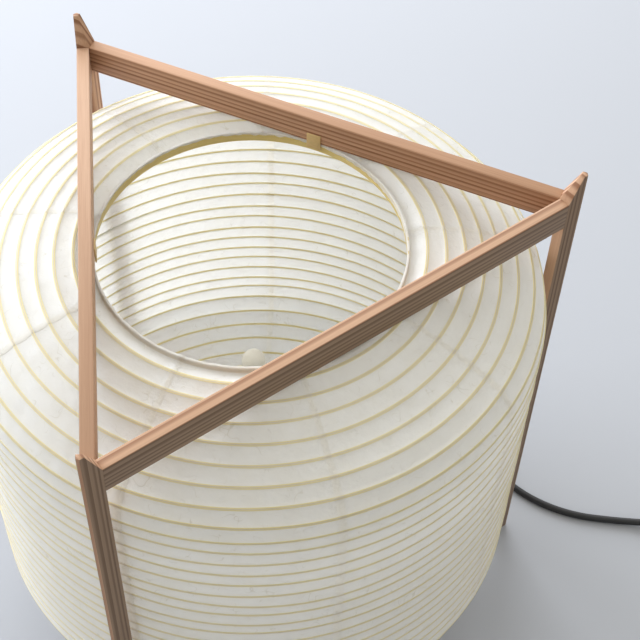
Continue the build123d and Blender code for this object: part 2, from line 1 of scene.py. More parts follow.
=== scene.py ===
import json
from math import asin, cos, exp, pi, radians, sin, sqrt, tau

import bmesh
import bpy
import numpy as np
from mathutils import Matrix, Vector

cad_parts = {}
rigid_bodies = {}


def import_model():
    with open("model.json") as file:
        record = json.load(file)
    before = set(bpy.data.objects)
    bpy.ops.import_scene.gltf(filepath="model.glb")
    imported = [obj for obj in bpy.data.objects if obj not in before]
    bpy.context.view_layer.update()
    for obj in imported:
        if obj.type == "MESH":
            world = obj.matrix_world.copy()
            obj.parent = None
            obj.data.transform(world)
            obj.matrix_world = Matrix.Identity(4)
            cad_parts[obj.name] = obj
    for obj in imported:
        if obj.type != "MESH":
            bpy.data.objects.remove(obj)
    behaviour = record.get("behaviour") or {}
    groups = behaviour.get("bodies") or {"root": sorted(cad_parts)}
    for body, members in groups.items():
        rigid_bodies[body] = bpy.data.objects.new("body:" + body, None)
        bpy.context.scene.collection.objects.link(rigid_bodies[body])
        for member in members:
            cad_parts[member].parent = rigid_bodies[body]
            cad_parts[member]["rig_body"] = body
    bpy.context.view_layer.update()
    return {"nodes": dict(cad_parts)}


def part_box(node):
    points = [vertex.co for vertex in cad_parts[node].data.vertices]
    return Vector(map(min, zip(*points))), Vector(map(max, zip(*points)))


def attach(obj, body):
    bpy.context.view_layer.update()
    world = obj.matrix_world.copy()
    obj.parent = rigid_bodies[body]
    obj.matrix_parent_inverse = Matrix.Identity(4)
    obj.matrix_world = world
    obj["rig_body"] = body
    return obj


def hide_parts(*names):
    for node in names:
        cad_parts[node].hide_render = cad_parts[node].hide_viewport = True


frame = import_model()

bl_info = {
    "name": "Andon floor lamp",
    "version": (1, 0, 0),
    "blender": (4, 5, 0),
    "location": "View3D > Sidebar > Andon",
    "description": "Builds a paper floor lantern in a three-legged cedar frame, piece by piece",
    "category": "Object",
}

# ---- sizes from the frame
MM = 0.001
skin_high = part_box("shade_paper")[1]
hoop_low, hoop_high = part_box("top_hoop")
WALL_RADIUS = skin_high.x
RIM_TOP = skin_high.z
HOOP_OUTER = hoop_high.x
HOOP_WALL = 1.6 * MM
HOOP_INNER = HOOP_OUTER - HOOP_WALL
HOOP_TOP = hoop_high.z
HOOP_HEIGHT = HOOP_TOP - hoop_low.z
LOWER_HOOP_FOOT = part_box("bottom_hoop")[0].z
MIDDLE = (HOOP_TOP + LOWER_HOOP_FOOT) / 2

# The lantern's outline, as its maker's mould gives it.
DOME_RADIUS = 234.0 * MM
DOME_LEVEL = 27.3 * MM
SHOULDER_RADIUS = 33.0 * MM
NECK_RUN = 13.5 * MM
GUTTER_DEPTH = 4.4 * MM
RINGS_EACH_SIDE = 17
LAST_RING = 2 * RINGS_EACH_SIDE
FOLD_EDGE = -1.8  # the ring number that stands for the paper's free edge inside a hoop

FIRST_RING = HOOP_OUTER + NECK_RUN
DOME_CENTRE = FIRST_RING - DOME_LEVEL
DOME_CROWN = RIM_TOP + DOME_RADIUS - sqrt(DOME_RADIUS**2 - DOME_LEVEL**2)
SHOULDER_MIDDLE = WALL_RADIUS - SHOULDER_RADIUS
SHOULDER_SLOPE = asin((SHOULDER_MIDDLE - DOME_CENTRE) / (DOME_RADIUS - SHOULDER_RADIUS))
SHOULDER_HEIGHT = DOME_CROWN - DOME_RADIUS + (DOME_RADIUS - SHOULDER_RADIUS) * cos(SHOULDER_SLOPE)
FIRST_SLOPE = asin((FIRST_RING - DOME_CENTRE) / DOME_RADIUS)
DOME_RUN = DOME_RADIUS * (SHOULDER_SLOPE - FIRST_SLOPE)
SHOULDER_RUN = SHOULDER_RADIUS * (pi / 2 - SHOULDER_SLOPE)
RING_PITCH = (DOME_RUN + SHOULDER_RUN + SHOULDER_HEIGHT - MIDDLE) / RINGS_EACH_SIDE

# The paper is cut in gores, each lapped over the next one.
GORES = 9
GORE_TURN = tau / GORES
GORE_STEPS = 54
LAP_STEPS = 2
LAP_TURN = GORE_TURN * LAP_STEPS / GORE_STEPS
FIRST_SEAM = radians(30.6)

# How closely things are drawn.
RING_STEPS = 144
HOOP_STEPS = 192
BULB_STEPS = 64
NECK_SHARES = (0.1, 0.22, 0.36, 0.5, 0.64, 0.78, 0.9)
BETWEEN_RINGS = (0, 0.06, 0.13, 0.33, 0.67, 0.87, 0.94)
# A ring's section in half widths, along the paper and in from it: flat outside, a low arch inside.
RING_SECTION = ((-1, 0), (1, 0), (0.9, 0.35), (0.45, 0.6), (-0.45, 0.6), (-0.9, 0.35))

# How far hand work strays from the mould.
RING_DRIFT = 1.05 * MM
RING_LIFT = 0.45 * MM
RING_SINK = 0.35 * MM
FOLD_LEAST = 0.6 * MM
FOLD_MORE = 3.4 * MM
FOLD_TORN = 0.65 * MM
RIM_UNEVEN = 0.3 * MM

# The frame's rails, by the way that each one's outer side faces.
RAIL_TURNS = (radians(90), radians(210), radians(330))
FRAME_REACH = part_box("top_rail_back")[1].y


# ---- what a user may change
def length_of(name, description, value):
    """A length that the user may change."""
    return bpy.props.FloatProperty(
        name=name, description=description, default=value, unit="LENGTH", precision=5
    )


def colour_of(name, description, value):
    """A colour that the user may change."""
    return bpy.props.FloatVectorProperty(
        name=name, description=description, default=(*value, 1), subtype="COLOR", size=4,
        min=0, max=1,
    )


class AndonSizes(bpy.types.PropertyGroup):
    """Sizes of the lantern's making."""

    paper: length_of("Paper", "Thickness of the paper", 0.2 * MM)
    sag: length_of("Sag", "How far the paper dips between two rings", 0.8 * MM)
    ridge: length_of("Ridge", "How far a ring lifts the paper", 0.7 * MM)
    pucker: length_of("Pucker", "Unevenness of the paper between rings", 0.55 * MM)
    ring_width: length_of("Ring width", "Width of a split bamboo ring", 2.3 * MM)
    arris: length_of("Arris", "Rounding of the planed edges", 0.45 * MM)


class AndonColours(bpy.types.PropertyGroup):
    """Colours of the lamp's materials."""

    early_wood: colour_of("Early wood", "Pale wood between the rings", (0.71, 0.47, 0.31))
    late_wood: colour_of("Late wood", "Dark wood of the rings", (0.25, 0.11, 0.052))
    paper: colour_of("Paper", "Washi away from rings and seams", (0.945, 0.95, 0.95))
    thin_paper: colour_of("Thin paper", "Washi where its pulp is thin", (0.925, 0.925, 0.91))
    paper_glow: colour_of("Glow", "Light that comes through the paper", (0.968, 0.947, 0.90))
    ring_shadow: colour_of("Ring through paper", "Where a ring shows through", (0.72, 0.60, 0.41))
    bamboo: colour_of("Bamboo", "Split bamboo of rings and hoops", (0.80, 0.65, 0.27))
    pale_bamboo: colour_of("Pale bamboo", "Split bamboo in its pale patches", (0.88, 0.78, 0.42))


# ---- node helpers
def fill(tree, node, inputs):
    """Links or sets a node's inputs, each by its name or its number."""
    for key, value in inputs.items():
        if isinstance(value, bpy.types.NodeSocket):
            tree.links.new(value, node.inputs[key])
        else:
            node.inputs[key].default_value = value


def put(tree, kind, inputs=None, **settings):
    """Adds a shader node, sets it up and fills or links its inputs."""
    made = tree.nodes.new("ShaderNode" + kind)
    for key, value in settings.items():
        setattr(made, key, value)
    fill(tree, made, inputs or {})
    return made


def sums(tree, operation, first, second=0.0):
    """The result of a sum on one or two values."""
    return put(tree, "Math", {0: first, 1: second}, operation=operation).outputs[0]


def plus(tree, first, second):
    return sums(tree, "ADD", first, second)


def times(tree, first, second):
    return sums(tree, "MULTIPLY", first, second)


def smooth(tree, value, low, high):
    """0 below low, 1 above high, and smooth between."""
    inputs = {"Value": value, "From Min": low, "From Max": high}
    return put(tree, "MapRange", inputs, interpolation_type="SMOOTHSTEP").outputs["Result"]


def mixed(tree, share, first, second):
    """A colour between two, by a share from 0 to 1."""
    return put(tree, "Mix", {0: share, 6: first, 7: second}, data_type="RGBA").outputs[2]


def cloud(tree, vector, scale, detail=2.0, roughness=0.5, dimensions="3D"):
    """Soft noise from 0 to 1."""
    key = "W" if dimensions == "1D" else "Vector"
    inputs = {key: vector, "Scale": scale, "Detail": detail, "Roughness": roughness}
    return put(tree, "TexNoise", inputs, noise_dimensions=dimensions).outputs["Fac"]


def stretched(tree, vector, scale):
    """A place whose axes are scaled, so that a pattern on it is drawn out."""
    return put(tree, "Mapping", {"Vector": vector, "Scale": scale}).outputs["Vector"]


def node_group(name, takes, gives):
    """A new shader group with its sockets of some kinds, its input node and its output node."""
    group = bpy.data.node_groups.new(name, "ShaderNodeTree")
    for label, kind, default in takes:
        socket = group.interface.new_socket(
            name=label, in_out="INPUT", socket_type="NodeSocket" + kind
        )
        if default is not None:
            socket.default_value = default
    for label, kind in gives:
        group.interface.new_socket(name=label, in_out="OUTPUT", socket_type="NodeSocket" + kind)
    return group, group.nodes.new("NodeGroupInput"), group.nodes.new("NodeGroupOutput")


def grouped(tree, name, inputs):
    """Places a group in a material."""
    return put(tree, "Group", inputs, node_tree=bpy.data.node_groups[name]).outputs


def finish_with(name, specular=0.5, plain=None):
    """A material with an empty shader, whose plain values are set here."""
    material = bpy.data.materials.new(name)
    material.use_nodes = True
    tree = material.node_tree
    shader = tree.nodes["Principled BSDF"]
    fill(tree, shader, {"Specular IOR Level": specular, **(plain or {})})
    return material, tree, shader


def let_through(tree, shader, share, glow):
    """Mixes a share of a translucent shader into a material's own."""
    both = put(tree, "MixShader", {0: share, 1: shader.outputs[0], 2: glow.outputs[0]})
    tree.links.new(both.outputs[0], tree.nodes["Material Output"].inputs["Surface"])


def raised(tree, shader, height, distance, strength):
    """Bumps a shader's surface by a height from 0 to 1."""
    bump = put(tree, "Bump", {"Height": height, "Distance": distance, "Strength": strength})
    tree.links.new(bump.outputs["Normal"], shader.inputs["Normal"])


def object_place(tree):
    return put(tree, "TexCoord").outputs["Object"]


# ---- shared effects
def make_straight_grain():
    """Quarter-sawn softwood: close rings across the board, long fibres along X."""
    takes = [
        ("Vector", "Vector", None),
        ("Ring Tilt", "Float", 0.7),
        ("Ring Spacing", "Float", 0.0028),
        ("Early Wood", "Color", (0.5, 0.3, 0.2, 1)),
        ("Late Wood", "Color", (0.25, 0.12, 0.07, 1)),
    ]
    gives = [("Color", "Color"), ("Roughness", "Float"), ("Height", "Float")]
    tree, entry, leave = node_group("Straight Grain", takes, gives)
    place = entry.outputs["Vector"]
    apart = put(tree, "SeparateXYZ", {"Vector": place}).outputs
    turn_y = times(tree, apart["Y"], sums(tree, "COSINE", entry.outputs["Ring Tilt"]))
    turn_z = times(tree, apart["Z"], sums(tree, "SINE", entry.outputs["Ring Tilt"]))
    drift = cloud(tree, stretched(tree, place, (1.6, 9, 9)), 1.0, 1.0)
    across = plus(tree, turn_y, turn_z)
    across = plus(tree, across, times(tree, drift, 0.005))
    rings = sums(tree, "DIVIDE", across, entry.outputs["Ring Spacing"])
    # Rings of uneven width: pale wood that darkens and then stops short.
    uneven = times(tree, cloud(tree, rings, 0.45, 1.0, dimensions="1D"), 1.1)
    phase = sums(tree, "FRACT", plus(tree, rings, uneven))
    late = times(tree, smooth(tree, phase, 0.3, 0.72), smooth(tree, phase, 1.0, 0.92))
    depth = cloud(tree, rings, 0.8, 2.0, dimensions="1D")
    late = times(tree, late, smooth(tree, depth, 0.1, 0.6))
    fibre = cloud(tree, stretched(tree, place, (14, 900, 900)), 1.0, 3.0, 0.6)
    flecks = cloud(tree, stretched(tree, place, (60, 2600, 2600)), 1.0, 1.0)
    warmth = cloud(tree, stretched(tree, place, (3, 40, 40)), 1.0, 2.0)
    early, dark = entry.outputs["Early Wood"], entry.outputs["Late Wood"]
    body = mixed(tree, smooth(tree, warmth, 0.25, 0.8), early, mixed(tree, 0.3, early, dark))
    ringed = mixed(tree, times(tree, late, 0.92), body, dark)
    streak = smooth(tree, fibre, 0.35, 0.75)
    colour = mixed(tree, times(tree, streak, 0.2), ringed, dark)
    pores = times(tree, smooth(tree, flecks, 0.62, 0.8), 0.25)
    colour = mixed(tree, pores, colour, dark)
    rough = plus(tree, 0.52, times(tree, fibre, 0.16))
    height = plus(tree, times(tree, late, 0.5), times(tree, fibre, 0.5))
    fill(tree, leave, {"Color": colour, "Roughness": rough, "Height": height})


def make_washi_fibre():
    """Hand-made paper: clouds of pulp, long stray fibres and fine crumpling."""
    takes = [("Vector", "Vector", None)]
    gives = [("Clouds", "Float"), ("Fibres", "Float"), ("Height", "Float")]
    tree, entry, leave = node_group("Washi Fibre", takes, gives)
    place = entry.outputs["Vector"]
    clouds = cloud(tree, place, 55, 4.0, 0.6)
    # A stray fibre is a thin contour of soft noise, shown only in places.
    strands = None
    for scale, shift in ((75, 0.0), (120, 3.7)):
        moved = put(tree, "Mapping", {"Vector": place, "Location": (shift, shift, shift)})
        field = cloud(tree, moved.outputs["Vector"], scale, 1.0, 0.4)
        away = sums(tree, "ABSOLUTE", sums(tree, "SUBTRACT", field, 0.5))
        line = smooth(tree, away, 0.009, 0.003)
        where = smooth(tree, cloud(tree, moved.outputs["Vector"], scale * 0.7, 1.0), 0.56, 0.66)
        strand = times(tree, line, where)
        strands = strand if strands is None else sums(tree, "MAXIMUM", strands, strand)
    folds = put(
        tree, "TexVoronoi", {"Vector": place, "Scale": 48.0, "Randomness": 1.0},
        feature="DISTANCE_TO_EDGE",
    ).outputs["Distance"]
    crease = smooth(tree, folds, 0.0, 0.16)
    fuzz = cloud(tree, place, 900, 3.0, 0.6)
    ripple = cloud(tree, place, 130, 3.0, 0.55)
    height = times(tree, ripple, 0.75)
    height = plus(tree, height, times(tree, crease, 0.12))
    height = plus(tree, height, times(tree, fuzz, 0.06))
    fill(tree, leave, {"Clouds": clouds, "Fibres": strands, "Height": height})


def make_fine_texture():
    """The even, fine unevenness of a moulded, cast or drawn surface."""
    takes = [("Vector", "Vector", None), ("Grain Scale", "Float", 900.0)]
    gives = [("Tone", "Float"), ("Height", "Float")]
    tree, entry, leave = node_group("Fine Texture", takes, gives)
    place = entry.outputs["Vector"]
    speckle = cloud(tree, place, entry.outputs["Grain Scale"], 3.0, 0.6)
    handling = cloud(tree, place, 45, 3.0, 0.6)
    fill(tree, leave, {"Tone": handling, "Height": speckle})


# ---- materials
HEARTWOOD = Vector((0.40, 0.185, 0.085, 1))
# Painted shade for the frame's outer sides: a dark grey-brown mixed over the wood.
OUTER_SIDE_SHADE = (0.11, 0.105, 0.08, 1)
PASTED_SEAM = (0.985, 0.985, 0.975, 1)
STRAY_FIBRE = (0.56, 0.52, 0.40, 1)
BAMBOO_FIBRE = (0.42, 0.33, 0.13, 1)


def cedar(board, along, ring_tilt, heart, shift):
    """Planed cedar whose grain runs along a level direction in degrees, or upright."""
    colours = bpy.context.scene.andon_colours
    material, tree, shader = finish_with("cedar_" + board, specular=0.35)
    turn = (0, pi / 2, 0) if along is None else (0, 0, -radians(along))
    moved = (shift, 0.37 * shift, 0.11 * shift)
    inputs = {"Vector": object_place(tree), "Rotation": turn, "Location": moved}
    turned = put(tree, "Mapping", inputs).outputs["Vector"]
    grain = grouped(tree, "Straight Grain", {
        "Vector": turned,
        "Ring Tilt": ring_tilt,
        "Ring Spacing": 4.2 * MM,
        "Early Wood": tuple(Vector(colours.early_wood).lerp(HEARTWOOD, heart)),
        "Late Wood": colours.late_wood,
    })
    # Painted shade: the three outer sides of the frame are darkened and greyed, standing in for the
    # shade they fall in.
    outermost = None
    for turn in RAIL_TURNS:
        inputs = {0: object_place(tree), 1: (cos(turn), sin(turn), 0)}
        reach = put(tree, "VectorMath", inputs, operation="DOT_PRODUCT").outputs["Value"]
        outermost = reach if outermost is None else sums(tree, "MAXIMUM", outermost, reach)
    outside = smooth(tree, outermost, FRAME_REACH - 0.5 * MM, FRAME_REACH - 0.1 * MM)
    colour = mixed(tree, times(tree, outside, 0.55), grain["Color"], OUTER_SIDE_SHADE)
    fill(tree, shader, {"Base Color": colour, "Roughness": grain["Roughness"]})
    raised(tree, shader, grain["Height"], 0.00012, 0.8)
    return material


def washi():
    """White paper over rings: their tan lines, its seams, and where it laps a hoop."""
    colours = bpy.context.scene.andon_colours
    material, tree, shader = finish_with("washi", specular=0.2)
    place = object_place(tree)
    fibre = grouped(tree, "Washi Fibre", {"Vector": place})
    ring = put(tree, "Attribute", attribute_name="ring").outputs["Fac"]
    turned = put(tree, "Attribute", attribute_name="turned").outputs["Fac"]
    off_ring = sums(tree, "ABSOLUTE", sums(tree, "SUBTRACT", ring, sums(tree, "ROUND", ring)))
    # How many rings past the first one or the last one, towards the hoop.
    beyond = sums(tree, "ABSOLUTE", sums(tree, "SUBTRACT", ring, RINGS_EACH_SIDE))
    beyond = sums(tree, "SUBTRACT", beyond, RINGS_EACH_SIDE)
    uneven = cloud(tree, place, 160, 2.0)
    width = plus(tree, 0.022, times(tree, uneven, 0.028))
    line = smooth(tree, sums(tree, "SUBTRACT", off_ring, width), 0.03, -0.012)
    line = times(tree, line, smooth(tree, beyond, 0.5, 0.4))
    lapped = times(tree, smooth(tree, beyond, 0.98, 1.04), smooth(tree, beyond, 1.56, 1.5))
    # The paper is double where a gore laps the next, and gathered beside that.
    far_side = sums(tree, "ABSOLUTE", sums(tree, "SUBTRACT", turned, GORE_TURN))
    near = sums(tree, "MINIMUM", turned, far_side)
    seam = smooth(tree, turned, LAP_TURN + radians(0.05), LAP_TURN - radians(0.1))
    far_seam = smooth(tree, turned, GORE_TURN - radians(0.1), GORE_TURN + radians(0.05))
    seam = sums(tree, "MAXIMUM", seam, far_seam)
    crumpled = smooth(tree, near, radians(4.5), radians(0.5))
    near_rim = smooth(tree, beyond, -2.2, 0.2)
    across = {"X": turned, "Y": times(tree, ring, 0.03)}
    across = put(tree, "CombineXYZ", across).outputs[0]
    pleats = cloud(tree, across, 85, 3.0, 0.6)
    pulp = mixed(tree, smooth(tree, fibre["Clouds"], 0.3, 0.75), colours.paper, colours.thin_paper)
    colour = mixed(tree, times(tree, seam, 0.8), pulp, PASTED_SEAM)
    colour = mixed(tree, times(tree, fibre["Fibres"], 0.35), colour, STRAY_FIBRE)
    colour = mixed(tree, times(tree, line, 0.42), colour, colours.ring_shadow)
    colour = mixed(tree, times(tree, lapped, 0.25), colour, colours.ring_shadow)
    rough = plus(tree, 0.72, times(tree, fibre["Clouds"], 0.15))
    fill(tree, shader, {"Base Color": colour, "Roughness": rough})
    height = plus(tree, fibre["Height"], times(tree, fibre["Fibres"], 0.1))
    gathered = times(tree, times(tree, pleats, near_rim), 0.9)
    height = plus(tree, height, times(tree, gathered, crumpled))
    rumple = cloud(tree, place, 230, 2.0, 0.5)
    rumple = times(tree, rumple, times(tree, crumpled, 0.8))
    height = plus(tree, height, rumple)
    raised(tree, shader, height, 0.0011, 0.7)
    # Half of the light goes through, and comes out warmer.
    through = put(tree, "BsdfTranslucent", {"Color": mixed(tree, 0.6, colour, colours.paper_glow)})
    tree.links.new(shader.inputs["Normal"].links[0].from_socket, through.inputs["Normal"])
    # The paste at a lap clears the paper. Beside a ring, which it is pasted to, less comes through.
    share = plus(tree, 0.52, times(tree, seam, 0.18))
    pasted = smooth(tree, off_ring, 0.13, 0.08)
    pasted = times(tree, pasted, smooth(tree, beyond, 0.5, 0.4))
    held_back = times(tree, pasted, 0.2)
    share = times(tree, share, sums(tree, "SUBTRACT", 1.0, held_back))
    let_through(tree, shader, share, through)
    return material


def split_bamboo(name, streaks, dark, tint, tinted, through=0.0):
    """Bamboo whose fibres run round the lantern; a thin split lets some light through."""
    colours = bpy.context.scene.andon_colours
    material, tree, shader = finish_with(name, specular=0.4)
    place = object_place(tree)
    fibre = cloud(tree, stretched(tree, place, streaks), 1.0, 3.0, 0.6)
    patches = cloud(tree, place, 14, 3.0)
    pale = mixed(tree, smooth(tree, patches, 0.3, 0.75), colours.bamboo, colours.pale_bamboo)
    pale = mixed(tree, tinted, pale, tint)
    streak = times(tree, smooth(tree, fibre, 0.4, 0.8), dark)
    colour = mixed(tree, streak, pale, BAMBOO_FIBRE)
    rough = plus(tree, 0.38, times(tree, fibre, 0.2))
    fill(tree, shader, {"Base Color": colour, "Roughness": rough})
    raised(tree, shader, fibre, 0.0001, 0.7)
    if through:
        let_through(tree, shader, through, put(tree, "BsdfTranslucent", {"Color": colour}))
    return material


def textured(name, colour, roughness, scale=900.0, depth=0.00004, metallic=0.0):
    """Moulding, rubber or metal: one colour with handling marks and a fine surface."""
    material, tree, shader = finish_with(name, plain={"Metallic": metallic})
    fine = grouped(tree, "Fine Texture", {"Vector": object_place(tree), "Grain Scale": scale})
    handled = tuple(min(1.0, value * 1.35 + 0.004) for value in colour[:3]) + (1,)
    shade = mixed(tree, smooth(tree, fine["Tone"], 0.35, 0.8), colour, handled)
    rough = plus(tree, roughness - 0.06, times(tree, fine["Tone"], 0.14))
    fill(tree, shader, {"Base Color": shade, "Roughness": rough})
    raised(tree, shader, fine["Height"], depth, 0.6)
    return material


# Name: colour, roughness, scale of the fine surface, its depth, metallic.
PLAIN_MATERIALS = {
    "black_moulding": ((0.012, 0.012, 0.013, 1), 0.5),
    "relief_rubber": ((0.014, 0.014, 0.014, 1), 0.6, 500.0, 0.00006),
    "flex_jacket": ((0.011, 0.011, 0.012, 1), 0.46, 700.0, 0.00003),
    "zinc_plate": ((0.60, 0.60, 0.58, 1), 0.34, 1500.0, 0.00003, 1.0),
    "dull_brass": ((0.62, 0.46, 0.20, 1), 0.36, 1200.0, 0.00003, 1.0),
    "blade_brass": ((0.72, 0.56, 0.28, 1), 0.25, 1500.0, 0.00002, 1.0),
    "cap_aluminium": ((0.66, 0.66, 0.64, 1), 0.3, 1300.0, 0.00003, 1.0),
}


def plain_material(name):
    """A plain material, made the first time it is asked for."""
    return bpy.data.materials.get(name) or textured(name, *PLAIN_MATERIALS[name])


# ---- pieces
def new_object(name, data):
    """An object of the scene that holds some data."""
    made = bpy.data.objects.new(name, data)
    bpy.context.scene.collection.objects.link(made)
    return made


def as_piece(name, bm, body, material, replaced, sharp=radians(32)):
    """Makes an object of a bmesh, puts it on a body and lets it stand for CAD nodes."""
    mesh = bpy.data.meshes.new(name)
    for face in bm.faces:
        face.smooth = True
    bm.to_mesh(mesh)
    bm.free()
    mesh.set_sharp_from_angle(angle=sharp)
    piece = new_object(name, mesh)
    mesh.materials.append(material)
    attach(piece, body)
    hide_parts(*replaced)
    return piece


def eased_copy(node, width, material, segments=2):
    """A copy of a CAD node with its sharp edges rounded, which stands for it."""
    original = frame["nodes"][node]
    bm = bmesh.new()
    bm.from_mesh(original.data)
    bmesh.ops.remove_doubles(bm, verts=bm.verts, dist=2e-6)
    bmesh.ops.dissolve_limit(bm, angle_limit=radians(1), verts=bm.verts, edges=bm.edges)
    keen = [edge for edge in bm.edges if edge.is_manifold and edge.calc_face_angle() > radians(28)]
    bmesh.ops.bevel(
        bm, geom=keen, offset=width, offset_type="OFFSET", segments=segments, profile=0.5,
        affect="EDGES", material=-1, clamp_overlap=True,
    )
    return as_piece("finished_" + node, bm, original["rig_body"], material, [node])


def eased_copies(material, widths):
    """Eased copies of some nodes in one material, each with its own width in millimetres."""
    for node, width in widths.items():
        eased_copy(node, width * MM, material)


def spun(bm, outline, steps, closed=False):
    """Turns an outline of (radius, height) points once round Z."""
    points = [bm.verts.new((radius, 0, height)) for radius, height in outline]
    pairs = list(zip(points, points[1:]))
    if closed:
        pairs.append((points[-1], points[0]))
    edges = [bm.edges.new(pair) for pair in pairs]
    bmesh.ops.spin(
        bm, geom=points + edges, cent=(0, 0, 0), axis=(0, 0, 1), angle=tau, steps=steps,
        use_merge=True,
    )


def closed_up(bm):
    """Welds a turned shape where it meets itself, and points its faces outwards."""
    bmesh.ops.remove_doubles(bm, verts=bm.verts, dist=1e-6)
    bmesh.ops.recalc_face_normals(bm, faces=bm.faces)


# ---- lantern
def mould(number):
    """Radius, height, slope and bend of the mould under ring numbers, counted from the top."""
    run = RING_PITCH * np.clip(np.minimum(number, LAST_RING - number), 0, None)
    dome = FIRST_SLOPE + run / DOME_RADIUS
    shoulder = SHOULDER_SLOPE + (run - DOME_RUN) / SHOULDER_RADIUS
    where = [run < DOME_RUN, run < DOME_RUN + SHOULDER_RUN]
    slope = np.select(where, [dome, shoulder], pi / 2)
    bend = np.select(where, [DOME_RADIUS, SHOULDER_RADIUS], 1.0)
    on_dome = DOME_CENTRE + DOME_RADIUS * np.sin(dome)
    on_shoulder = SHOULDER_MIDDLE + SHOULDER_RADIUS * np.sin(shoulder)
    radius = np.select(where, [on_dome, on_shoulder], WALL_RADIUS)
    on_dome = DOME_CROWN - DOME_RADIUS + DOME_RADIUS * np.cos(dome)
    on_shoulder = SHOULDER_HEIGHT + SHOULDER_RADIUS * np.cos(shoulder)
    on_wall = SHOULDER_HEIGHT - (run - DOME_RUN - SHOULDER_RUN)
    height = np.select(where, [on_dome, on_shoulder], on_wall)
    return radius, height, slope, bend


def paper_point(number):
    """Radius and height of the paper's outer face at a ring number, whole or between rings."""
    sizes = bpy.context.scene.andon_sizes
    radius, height, slope, bend = mould(number)
    between = number % 1
    off_ring = min(between, 1 - between) * RING_PITCH
    chord = RING_PITCH**2 / (8 * bend)
    drop = (sizes.sag + chord) * sin(pi * between)
    drop += sizes.ridge * (1 - exp(-((off_ring / (1.3 * MM)) ** 2)))
    radius -= drop * sin(slope)
    height -= drop * cos(slope)
    return radius, 2 * MIDDLE - height if number > RINGS_EACH_SIDE else height


def neck_points():
    """The paper's outer face from inside the upper hoop, over its edge, to the first ring."""
    paper = bpy.context.scene.andon_sizes.paper
    first_radius, first_height = paper_point(0)
    corner = (HOOP_OUTER + paper, HOOP_TOP - GUTTER_DEPTH)
    points = [
        (HOOP_INNER - paper, HOOP_TOP - 0.9 * MM, FOLD_EDGE),
        (HOOP_INNER - paper, HOOP_TOP - 0.6 * MM, -1.78),
        (HOOP_INNER - paper, HOOP_TOP - 0.2 * MM, -1.74),
        (HOOP_INNER - 0.3 * paper, HOOP_TOP + 0.8 * paper, -1.72),
        (HOOP_INNER + 0.4 * MM, HOOP_TOP + paper, -1.70),
        (HOOP_OUTER - 0.4 * MM, HOOP_TOP + paper, -1.66),
        (HOOP_OUTER + 0.6 * paper, HOOP_TOP + 0.6 * paper, -1.62),
        (HOOP_OUTER + paper, HOOP_TOP - 0.6 * MM, -1.58),
        (HOOP_OUTER + paper, corner[1] + 2.6 * MM, -1.44),
        (HOOP_OUTER + paper, corner[1] + 1.5 * MM, -1.22),
        (HOOP_OUTER + 1.2 * paper, corner[1] + 0.7 * MM, -1.06),
        (corner[0] + 0.6 * MM, corner[1] + 0.2 * MM, -1.0),
    ]
    for share in NECK_SHARES:
        radius = corner[0] + (first_radius - corner[0]) * share
        height = corner[1] + (first_height - corner[1]) * share - 0.35 * MM * sin(pi * share)
        points.append((radius, height, share - 1))
    return points


def gore_outline():
    """(radius, height, ring number) down one gore, from inside one hoop to inside the other."""
    neck = neck_points()
    points = list(neck)
    for ring in range(LAST_RING):
        for share in BETWEEN_RINGS:
            points.append((*paper_point(ring + share), ring + share))
    points.append((*paper_point(LAST_RING), LAST_RING))
    for radius, height, ring in reversed(neck):
        points.append((radius, 2 * MIDDLE - height, LAST_RING - ring))
    return points


def ripples(place, wavelengths, seed, waves=6):
    """Smooth unevenness from about -1 to 1 at places, from crossing waves of some lengths."""
    chance = np.random.default_rng(seed)
    total = np.zeros(len(place))
    for length in wavelengths:
        for _ in range(waves):
            way = chance.normal(size=3)
            way *= tau / (length * np.linalg.norm(way))
            total += np.sin(place @ way + chance.uniform(0, tau))
    return total / sqrt(waves * len(wavelengths))


def tied_by_eye(ring, azimuth, seed):
    """How far rings lie from their marks, from about -1 to 1, smooth round the lantern."""
    chance = np.random.default_rng(seed)
    turns = np.arange(1, 7)
    phases = chance.uniform(0, tau, (LAST_RING + 2, len(turns)))
    size = chance.uniform(0.5, 1.0, (LAST_RING + 2, len(turns))) / np.sqrt(turns)
    above = np.clip(np.floor(ring), 0, LAST_RING).astype(int)
    share = np.clip(ring - above, 0, 1)
    total = 0
    for number, weight in ((above, 1 - share), (above + 1, share)):
        waves = size[number] * np.sin(azimuth[:, None] * turns + phases[number])
        total = total + weight * waves.sum(axis=1) / 1.6
    return total


def soft_step(value, low, high):
    """0 below low, 1 above high, and smooth between."""
    share = np.clip((value - low) / (high - low), 0, 1)
    return share * share * (3 - 2 * share)


def moved_by_hand(place, ring):
    """Where hand work leaves points of the lantern, with the mould's normal and their azimuth."""
    azimuth = np.arctan2(place[:, 1], place[:, 0])
    slope = mould(ring)[2]
    flip = np.where(ring > RINGS_EACH_SIDE, -1, 1)
    out = np.stack([np.cos(azimuth), np.sin(azimuth), np.zeros(len(ring))], axis=1)
    up = np.array([0, 0, 1])
    normal = out * np.sin(slope)[:, None] + up * (np.cos(slope) * flip)[:, None]
    along = out * np.cos(slope)[:, None] - up * (np.sin(slope) * flip)[:, None]
    # Nothing moves at the hoops, which the rails hold.
    held = soft_step(np.minimum(ring, LAST_RING - ring), 0.0, 2.5)
    shift = along * (RING_DRIFT * held * tied_by_eye(ring, azimuth, seed=4))[:, None]
    away = RING_LIFT * tied_by_eye(ring, azimuth, seed=9) - RING_SINK
    return place + shift + normal * (away * held)[:, None], normal, azimuth


def from_seam(azimuth):
    """Signed angle from the nearest seam."""
    gores = (azimuth - FIRST_SEAM) / GORE_TURN
    return (gores - np.round(gores)) * GORE_TURN


